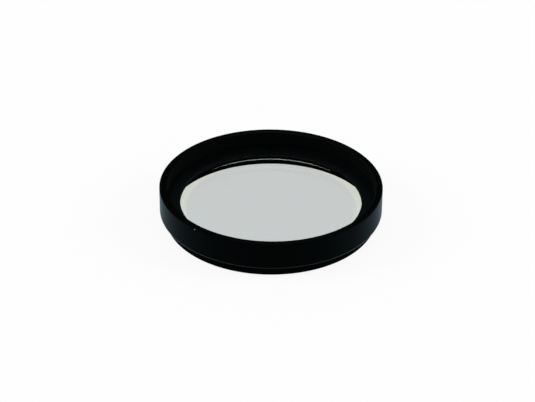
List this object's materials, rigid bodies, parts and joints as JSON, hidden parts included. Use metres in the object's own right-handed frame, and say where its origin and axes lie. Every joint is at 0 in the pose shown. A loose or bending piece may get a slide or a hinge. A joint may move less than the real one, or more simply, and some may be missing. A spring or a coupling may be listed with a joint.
{
  "type": "optical bandpass filter",
  "caption": "Round mounted optical filter: a coated glass disc held by a threaded retaining ring in a black turned ring with a male thread below and a female thread above.",
  "frame": {"origin": "centre of the end face of the male thread, on which the filter stands", "axes": "+Z along the optical axis, from the male-threaded end towards the female-threaded rim; the two spanner notches lie on the Y axis"},
  "size_m": [0.0376, 0.0376, 0.0064],
  "materials": {
    "anodised_ring": "satin black anodised",
    "coated_glass": "polished, interference coated",
    "anodised_retainer": "satin black anodised"
  },
  "bodies": {
    "root": {"mount_ring": "anodised_ring", "filter_glass": "coated_glass", "retaining_ring": "anodised_retainer"}
  },
  "joints": []
}
